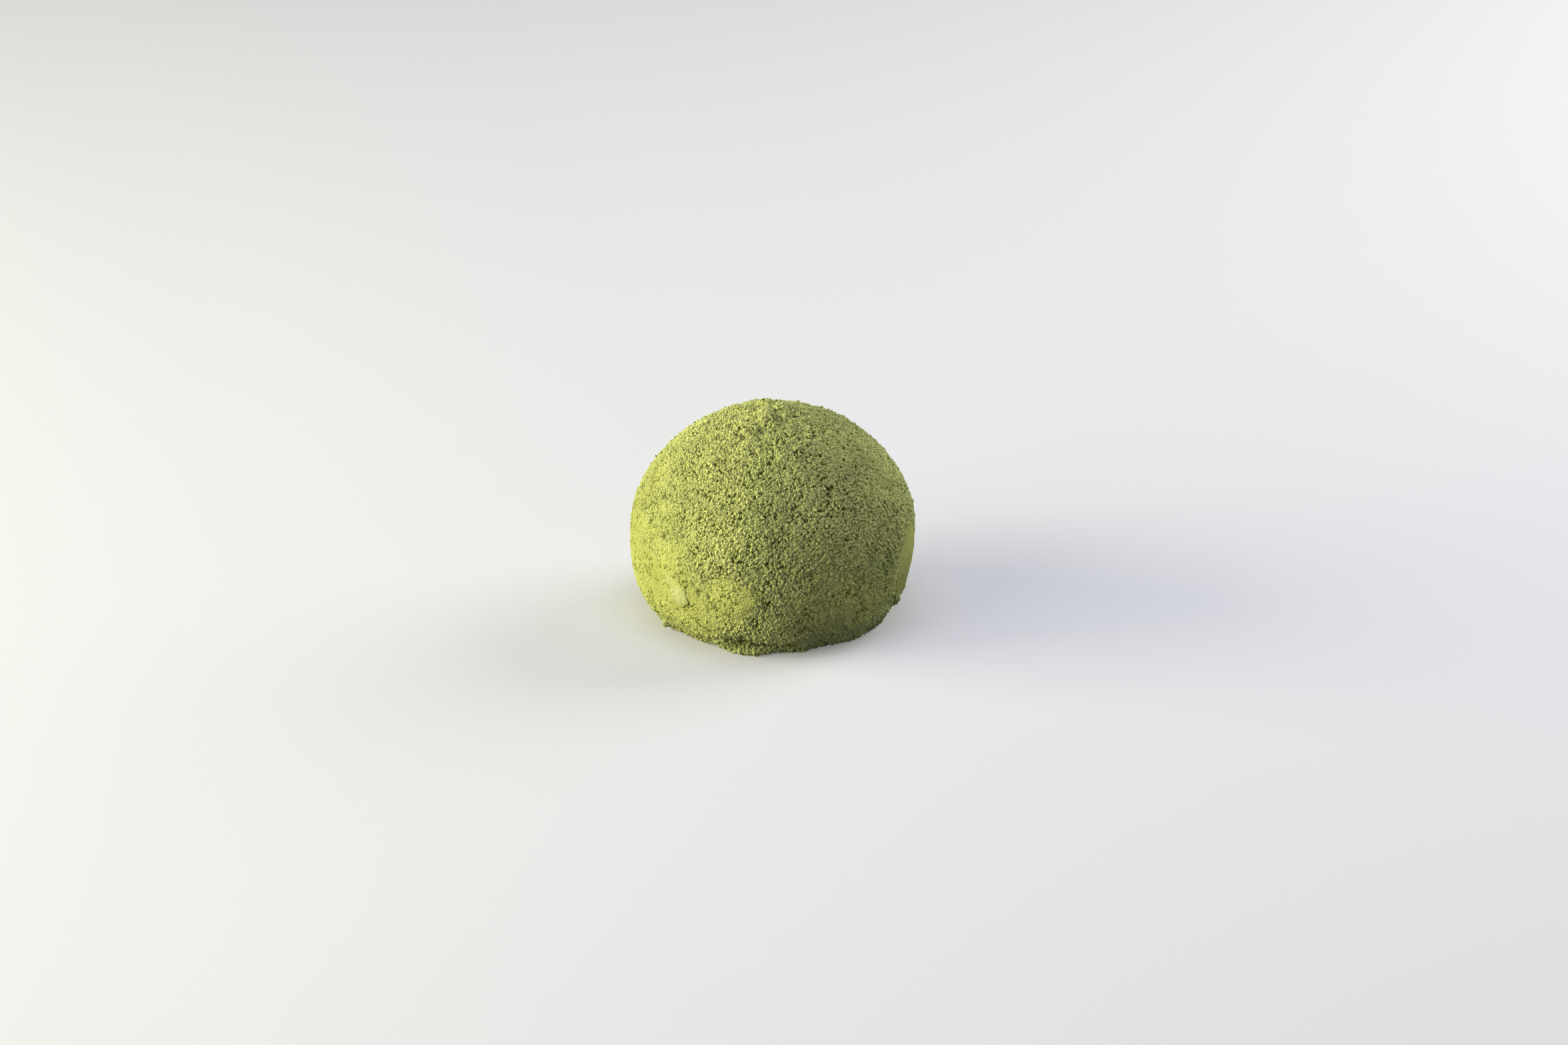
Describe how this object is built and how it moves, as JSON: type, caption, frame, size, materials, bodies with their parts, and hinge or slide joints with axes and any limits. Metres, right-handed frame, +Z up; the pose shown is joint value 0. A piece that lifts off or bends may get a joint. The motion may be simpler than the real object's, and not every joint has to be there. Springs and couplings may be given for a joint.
{
  "type": "mochi rice cake",
  "caption": "Round soft rice cake that has sagged onto a flat foot, under a thick coat of green tea powder, with a flat pressed side.",
  "frame": {"origin": "centre of the box's footprint, on the level that the foot rests on", "axes": "+Z up out of the crown, -Y towards the front, +X towards the flat pressed side"},
  "size_m": [0.056, 0.0556, 0.0417],
  "materials": {
    "powder_coat": "matte"
  },
  "bodies": {
    "root": {"mochi": "powder_coat"}
  },
  "joints": []
}
